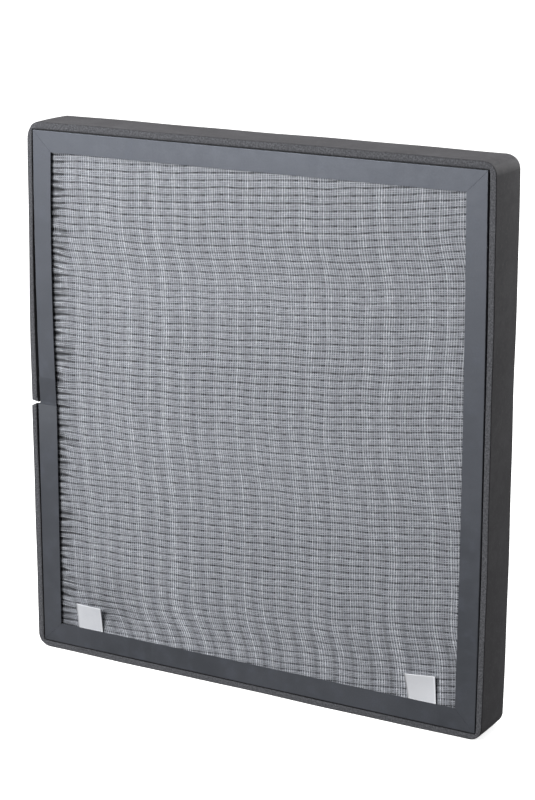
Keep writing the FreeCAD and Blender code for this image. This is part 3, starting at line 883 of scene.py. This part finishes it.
def ribbon_line(foot_low, bend, top, lean, y, off):
    """A ply's middle line, off the ribbon's middle by off, as (y, z) points from foot to top."""
    points = [(y + off, z) for z in np.linspace(foot_low, bend - LEAN_BELOW, 7)]
    angle = math.radians(lean)
    for t in np.linspace(0, 1, FREE_STEPS + 1)[1:]:
        run = (top - bend + LEAN_BELOW) * t
        turn = angle * ease(run / LEAN_OVER)
        turn = turn + math.radians(TIP_LEAN) * ease((run - TIP_FROM) / TIP_OVER)
        step = (top - bend + LEAN_BELOW) / FREE_STEPS
        last_y, last_z = points[-1]
        points.append((last_y - math.sin(turn) * step, last_z + math.cos(turn) * step))
    return np.array(points)


def build_tab(side):
    """A ribbon folded in two, from its foot behind the flange up to the fold at its tip."""
    foot_low, foot_high = box_mm(f"tab_{side}_foot")
    joint = next(j for j in frame["joints"] if j["child"] == f"tab_{side}")
    bend_z = joint["pos_m"][2] / MM
    x0, x1 = foot_low[0], foot_high[0]
    middle_x = (x0 + x1) / 2
    y = (foot_low[1] + foot_high[1]) / 2
    half = (RIBBON_PLY + RIBBON_GAP) / 2
    half_wide = (x1 - x0) / 2 - 0.05
    across = np.linspace(-1, 1, 15)

    def ply_line(lean):
        """The two plies' middle line at one place across, round the fold, with its normals."""
        front, back = [ribbon_line(foot_low[2], bend_z, bend_z + RIBBON_FREE, lean, y, off)
                       for off in (-half, half)]
        tip_mid, along = (front[-1] + back[-1]) / 2, front[-1] - front[-2]
        along = along / np.hypot(*along)
        outward = (front[-1] - back[-1]) / np.hypot(*(front[-1] - back[-1]))
        fold = [tip_mid + half * (outward * math.cos(a) + along * math.sin(a) * 1.3)
                for a in np.radians([22.5, 45, 67.5, 90, 112.5, 135, 157.5])]
        line = np.vstack([front, fold, back[::-1]])
        tangent = np.gradient(line, axis=0)
        tangent /= np.hypot(*tangent.T)[:, None]
        return line, np.stack([-tangent[:, 1], tangent[:, 0]], 1)

    leans = np.interp(across, (-1, 1), TAB_LEAN[side])
    lines, normals = [np.array(v) for v in zip(*(ply_line(lean) for lean in leans))]
    line = lines[len(across) // 2]
    run = np.concatenate([[0], np.cumsum(np.hypot(*np.diff(line, axis=0).T))])
    up = np.maximum(0.0, (line[:, 1] - bend_z) / RIBBON_FREE)[:, None]
    curl = TAB_CURL * up * (across ** 2 - 0.4)
    xs = middle_x + across * half_wide + TAB_DRIFT[side] * up ** 1.1
    thin = RIBBON_PLY / 2 * (1 - 0.35 * (abs(across) > 0.99))
    sheets = []
    for skin in (1, -1):
        ply = lines.transpose(1, 0, 2) + skin * normals.transpose(1, 0, 2) * thin[None, :, None]
        sheets.append(np.stack([xs, ply[..., 0] + curl, ply[..., 1]], 2).reshape(-1, 3))
    rows, columns = len(line), len(across)
    faces = quads(rows, columns)
    other = faces[:, ::-1] + rows * columns
    rim = []

    def close(p, q, flip):
        """Joins the sheets along the edge from p to q."""
        face = [p, q, q + rows * columns, p + rows * columns]
        rim.append(face[::-1] if flip else face)

    for row in range(rows - 1):
        for column, flip in ((0, True), (columns - 1, False)):
            close(row * columns + column, (row + 1) * columns + column, flip)
    for column in range(columns - 1):
        for row, flip in ((0, False), (rows - 1, True)):
            close(row * columns + column, row * columns + column + 1, flip)
    all_faces = np.concatenate([faces, other, rim])
    piece = new_piece(f"tab_{side}_ribbon", np.concatenate(sheets), all_faces)
    set_values(piece, "across", np.tile(across * half_wide, 2 * rows))
    set_values(piece, "along", np.tile(np.repeat(run, columns), 2))
    give(piece, ribbon_material)
    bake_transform(piece)
    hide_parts(f"tab_{side}_leaf", f"tab_{side}_foot")


# ---- pieces ----------------------------------------------------------------------------------

give(nodes["frame_strip"], frame_coating())
give(nodes["seal_tape"], tape_look())
give(nodes["rear_grid"], grid_look())
glue = melt_look("clear_glue", (0.5, 0.46, 0.36), (0.66, 0.62, 0.5), 0.35)
for name in ("lap_glue", "net_glue", "grid_glue"):
    give(nodes[name], glue)
sealant = melt_look("potting_sealant", (0.05, 0.05, 0.055), (0.1, 0.1, 0.105), 0.5, 60)
for name in ("potting_left", "potting_right", "end_glue_bottom", "end_glue_top", "corner_sealant"):
    give(nodes[name], sealant)
pad = melt_look("pad_adhesive", (0.6, 0.58, 0.52), (0.75, 0.73, 0.66), 0.5, 200)
for name in ("tab_left_pad", "tab_right_pad"):
    give(nodes[name], pad)

build_foam()
build_net(build_medium())
build_beads()
ribbon_material = ribbon_look()
for tab_side in ("left", "right"):
    build_tab(tab_side)


# ---- studio ----------------------------------------------------------------------------------

EYE = (0.7507, -1.3012, 0.6149)
AHEAD, UPWARD = (-0.47984, 0.83751, -0.26141), (-0.13081, 0.22633, 0.96523)
LENS, SENSOR = 101.94, 36.0      # millimetres
AMBIENT = 0.175                  # strength of the light that comes from all round
SUN, SUN_SOFTNESS = 1.75, 12     # strength, and degrees across
FLOOR_REACH, FLOOR_DROP = 30.0, 0.0002
FLOOR_GLOW = 0.78                # keeps the floor as pale as the world around it
# name, place, what it faces, size, watts
AREA_LIGHTS = (("softbox", (-0.46, -0.98, 0.65), (0.0, 0.0, 0.25), (0.7, 0.5), 18.3),
               ("rear_fill", (0.7, 1.9, 0.75), (0.0, 0.0, 0.2), (1.2, 1.0), 22))


def camera():
    data = bpy.data.cameras.new("camera")
    eye = bpy.data.objects.new("camera", data)
    bpy.context.scene.collection.objects.link(eye)
    ahead = Vector(AHEAD).normalized()
    up = Vector(UPWARD).normalized()
    right = ahead.cross(up).normalized()
    turned = Matrix((right, right.cross(ahead), -ahead)).transposed().to_4x4()
    eye.matrix_world = Matrix.Translation(EYE) @ turned
    data.lens = LENS
    data.sensor_width = SENSOR
    data.clip_start, data.clip_end = 0.05, 30.0
    bpy.context.scene.camera = eye


def area_light(name, place, target, size, power):
    data = bpy.data.lights.new(name, "AREA")
    data.shape = "RECTANGLE"
    data.size, data.size_y = size
    data.energy = power
    lamp = bpy.data.objects.new(name, data)
    bpy.context.scene.collection.objects.link(lamp)
    lamp.location = place
    lamp.rotation_mode = "QUATERNION"
    lamp.rotation_quaternion = (Vector(target) - Vector(place)).to_track_quat("-Z", "Y")


def studio():
    """A white world, which is dimmer as a light than as a backdrop, the lamps, and the floor."""
    scene = bpy.context.scene
    scene.view_settings.view_transform = "Standard"
    world = bpy.data.worlds.new("studio")
    world.use_nodes = True
    tree = world.node_tree
    background = tree.nodes["Background"]
    background.inputs["Color"].default_value = (1, 1, 1, 1)
    seen = tree.nodes.new("ShaderNodeLightPath").outputs["Is Camera Ray"]
    strength = tree.nodes.new("ShaderNodeMapRange")
    strength.inputs["To Min"].default_value = AMBIENT
    strength.inputs["To Max"].default_value = 1.0
    tree.links.new(seen, strength.inputs["Value"])
    tree.links.new(strength.outputs["Result"], background.inputs["Strength"])
    scene.world = world
    for light in AREA_LIGHTS:
        area_light(*light)
    sun_data = bpy.data.lights.new("overhead", "SUN")
    sun_data.energy = SUN
    sun_data.angle = math.radians(SUN_SOFTNESS)
    sun = bpy.data.objects.new("overhead", sun_data)
    scene.collection.objects.link(sun)
    floor_mesh = bpy.data.meshes.new("floor")
    corners = [(x * FLOOR_REACH, y * FLOOR_REACH, 0) for x, y in ((-1, -1), (1, -1), (1, 1), (-1, 1))]
    floor_mesh.from_pydata(corners, [], [(0, 1, 2, 3)])
    floor = bpy.data.objects.new("floor", floor_mesh)
    scene.collection.objects.link(floor)
    floor.location.z = -FLOOR_DROP
    floor.visible_diffuse = floor.visible_glossy = False
    look = Look("floor_paper", Specular_IOR_Level=0.1, Emission_Color=(1, 1, 1, 1),
                Emission_Strength=FLOOR_GLOW)
    grain = look.noise(3.0, 2)
    paper = look.mix(look.span(grain, 0.3, 0.7), (0.86, 0.86, 0.86), (0.88, 0.88, 0.88))
    give(floor, look.finish(paper, 0.9, look.noise(300, 2), 0.1, 0.1))


camera()
studio()
